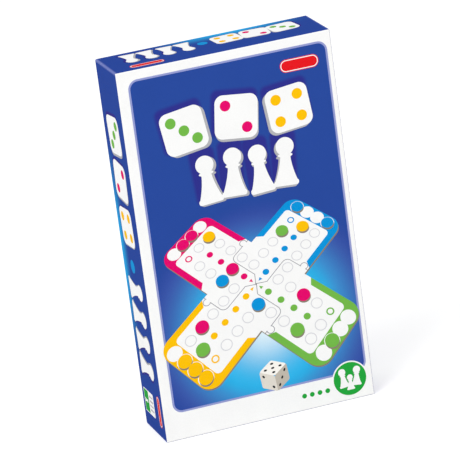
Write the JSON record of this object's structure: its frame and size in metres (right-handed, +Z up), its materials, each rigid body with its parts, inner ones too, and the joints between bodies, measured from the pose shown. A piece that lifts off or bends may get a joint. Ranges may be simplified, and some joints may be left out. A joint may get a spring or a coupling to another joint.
{
  "type": "board game box",
  "caption": "Travel ludo in a slim telescoping cardboard box, with interlocking board plates, a formed tray, discs, a wooden die and rules.",
  "frame": {"origin": "centre of the box's footprint, on the surface that it stands on", "axes": "+Z up the box's height, +Y from the printed front to the back, +X to the right as seen from the front"},
  "size_m": [0.11, 0.034, 0.19],
  "materials": {
    "greyboard": "unbleached grey solid board, matt",
    "lid_print": "offset printed art paper with a gloss film",
    "base_print": "offset printed art paper, plain blue, satin",
    "stay_paper": "gummed kraft stay paper",
    "tray_plastic": "thermoformed white polystyrene sheet, satin",
    "leaflet_paper": "uncoated offset paper",
    "die_wood": "pale beech, clear lacquer, black painted pips",
    "pink_plate": "laminated greyboard, printed face with a satin film, die-cut edge",
    "pink_disc": "turned wood, lacquered in colour, soft gloss",
    "blue_plate": "laminated greyboard, printed face with a satin film, die-cut edge",
    "blue_disc": "turned wood, lacquered in colour, soft gloss",
    "green_plate": "laminated greyboard, printed face with a satin film, die-cut edge",
    "green_disc": "turned wood, lacquered in colour, soft gloss",
    "yellow_plate": "laminated greyboard, printed face with a satin film, die-cut edge",
    "yellow_disc": "turned wood, lacquered in colour, soft gloss"
  },
  "bodies": {
    "base": {"base_board": "greyboard", "base_corner_stays": "stay_paper", "base_wrap": "base_print", "tray": "tray_plastic", "tray_plates_pocket": "tray_plastic", "tray_left_wells": "tray_plastic", "tray_right_wells": "tray_plastic", "tray_die_well": "tray_plastic"},
    "lid": {"lid_board": "greyboard", "lid_corner_stays": "stay_paper", "lid_wrap": "lid_print"},
    "rules_leaflet": {"rules_leaflet": "leaflet_paper"},
    "plate_pink": {"plate_pink": "pink_plate"},
    "plate_blue": {"plate_blue": "blue_plate"},
    "plate_green": {"plate_green": "green_plate"},
    "plate_yellow": {"plate_yellow": "yellow_plate"},
    "disc_pink_1": {"disc_pink_1": "pink_disc"},
    "disc_pink_2": {"disc_pink_2": "pink_disc"},
    "disc_pink_3": {"disc_pink_3": "pink_disc"},
    "disc_pink_4": {"disc_pink_4": "pink_disc"},
    "disc_blue_1": {"disc_blue_1": "blue_disc"},
    "disc_blue_2": {"disc_blue_2": "blue_disc"},
    "disc_blue_3": {"disc_blue_3": "blue_disc"},
    "disc_blue_4": {"disc_blue_4": "blue_disc"},
    "disc_green_1": {"disc_green_1": "green_disc"},
    "disc_green_2": {"disc_green_2": "green_disc"},
    "disc_green_3": {"disc_green_3": "green_disc"},
    "disc_green_4": {"disc_green_4": "green_disc"},
    "disc_yellow_1": {"disc_yellow_1": "yellow_disc"},
    "disc_yellow_2": {"disc_yellow_2": "yellow_disc"},
    "disc_yellow_3": {"disc_yellow_3": "yellow_disc"},
    "disc_yellow_4": {"disc_yellow_4": "yellow_disc"},
    "die": {"die": "die_wood"}
  },
  "joints": [
    {"name": "lid_lift", "type": "slide", "parent": "base", "child": "lid", "axis": [0, -1, 0], "range_m": [0, 0.16]},
    {"name": "rules_leaflet_lift", "type": "slide", "parent": "base", "child": "rules_leaflet", "axis": [0, -1, 0], "range_m": [0, 0.1205]},
    {"name": "plate_pink_lift", "type": "slide", "parent": "base", "child": "plate_pink", "axis": [0, -1, 0], "range_m": [0, 0.0705]},
    {"name": "plate_blue_lift", "type": "slide", "parent": "base", "child": "plate_blue", "axis": [0, -1, 0], "range_m": [0, 0.0805]},
    {"name": "plate_green_lift", "type": "slide", "parent": "base", "child": "plate_green", "axis": [0, -1, 0], "range_m": [0, 0.0905]},
    {"name": "plate_yellow_lift", "type": "slide", "parent": "base", "child": "plate_yellow", "axis": [0, -1, 0], "range_m": [0, 0.1005]},
    {"name": "disc_pink_1_lift", "type": "slide", "parent": "base", "child": "disc_pink_1", "axis": [0, -1, 0], "range_m": [0, 0.0245]},
    {"name": "disc_pink_2_lift", "type": "slide", "parent": "base", "child": "disc_pink_2", "axis": [0, -1, 0], "range_m": [0, 0.0355]},
    {"name": "disc_pink_3_lift", "type": "slide", "parent": "base", "child": "disc_pink_3", "axis": [0, -1, 0], "range_m": [0, 0.0465]},
    {"name": "disc_pink_4_lift", "type": "slide", "parent": "base", "child": "disc_pink_4", "axis": [0, -1, 0], "range_m": [0, 0.0575]},
    {"name": "disc_blue_1_lift", "type": "slide", "parent": "base", "child": "disc_blue_1", "axis": [0, -1, 0], "range_m": [0, 0.0245]},
    {"name": "disc_blue_2_lift", "type": "slide", "parent": "base", "child": "disc_blue_2", "axis": [0, -1, 0], "range_m": [0, 0.0355]},
    {"name": "disc_blue_3_lift", "type": "slide", "parent": "base", "child": "disc_blue_3", "axis": [0, -1, 0], "range_m": [0, 0.0465]},
    {"name": "disc_blue_4_lift", "type": "slide", "parent": "base", "child": "disc_blue_4", "axis": [0, -1, 0], "range_m": [0, 0.0575]},
    {"name": "disc_green_1_lift", "type": "slide", "parent": "base", "child": "disc_green_1", "axis": [0, -1, 0], "range_m": [0, 0.0245]},
    {"name": "disc_green_2_lift", "type": "slide", "parent": "base", "child": "disc_green_2", "axis": [0, -1, 0], "range_m": [0, 0.0355]},
    {"name": "disc_green_3_lift", "type": "slide", "parent": "base", "child": "disc_green_3", "axis": [0, -1, 0], "range_m": [0, 0.0465]},
    {"name": "disc_green_4_lift", "type": "slide", "parent": "base", "child": "disc_green_4", "axis": [0, -1, 0], "range_m": [0, 0.0575]},
    {"name": "disc_yellow_1_lift", "type": "slide", "parent": "base", "child": "disc_yellow_1", "axis": [0, -1, 0], "range_m": [0, 0.0245]},
    {"name": "disc_yellow_2_lift", "type": "slide", "parent": "base", "child": "disc_yellow_2", "axis": [0, -1, 0], "range_m": [0, 0.0355]},
    {"name": "disc_yellow_3_lift", "type": "slide", "parent": "base", "child": "disc_yellow_3", "axis": [0, -1, 0], "range_m": [0, 0.0465]},
    {"name": "disc_yellow_4_lift", "type": "slide", "parent": "base", "child": "disc_yellow_4", "axis": [0, -1, 0], "range_m": [0, 0.0575]},
    {"name": "die_lift", "type": "slide", "parent": "base", "child": "die", "axis": [0, -1, 0], "range_m": [0, 0.0305]}
  ],
  "couplings": [
    {"joint": "rules_leaflet_lift", "follows": "lid_lift", "ratio": 0.75},
    {"joint": "plate_pink_lift", "follows": "lid_lift", "ratio": 0.4375},
    {"joint": "plate_blue_lift", "follows": "lid_lift", "ratio": 0.5},
    {"joint": "plate_green_lift", "follows": "lid_lift", "ratio": 0.5625},
    {"joint": "plate_yellow_lift", "follows": "lid_lift", "ratio": 0.625},
    {"joint": "disc_pink_1_lift", "follows": "lid_lift", "ratio": 0.15},
    {"joint": "disc_pink_2_lift", "follows": "lid_lift", "ratio": 0.21875},
    {"joint": "disc_pink_3_lift", "follows": "lid_lift", "ratio": 0.2875},
    {"joint": "disc_pink_4_lift", "follows": "lid_lift", "ratio": 0.35625},
    {"joint": "disc_blue_1_lift", "follows": "lid_lift", "ratio": 0.15},
    {"joint": "disc_blue_2_lift", "follows": "lid_lift", "ratio": 0.21875},
    {"joint": "disc_blue_3_lift", "follows": "lid_lift", "ratio": 0.2875},
    {"joint": "disc_blue_4_lift", "follows": "lid_lift", "ratio": 0.35625},
    {"joint": "disc_green_1_lift", "follows": "lid_lift", "ratio": 0.15},
    {"joint": "disc_green_2_lift", "follows": "lid_lift", "ratio": 0.21875},
    {"joint": "disc_green_3_lift", "follows": "lid_lift", "ratio": 0.2875},
    {"joint": "disc_green_4_lift", "follows": "lid_lift", "ratio": 0.35625},
    {"joint": "disc_yellow_1_lift", "follows": "lid_lift", "ratio": 0.15},
    {"joint": "disc_yellow_2_lift", "follows": "lid_lift", "ratio": 0.21875},
    {"joint": "disc_yellow_3_lift", "follows": "lid_lift", "ratio": 0.2875},
    {"joint": "disc_yellow_4_lift", "follows": "lid_lift", "ratio": 0.35625},
    {"joint": "die_lift", "follows": "lid_lift", "ratio": 0.1875}
  ]
}
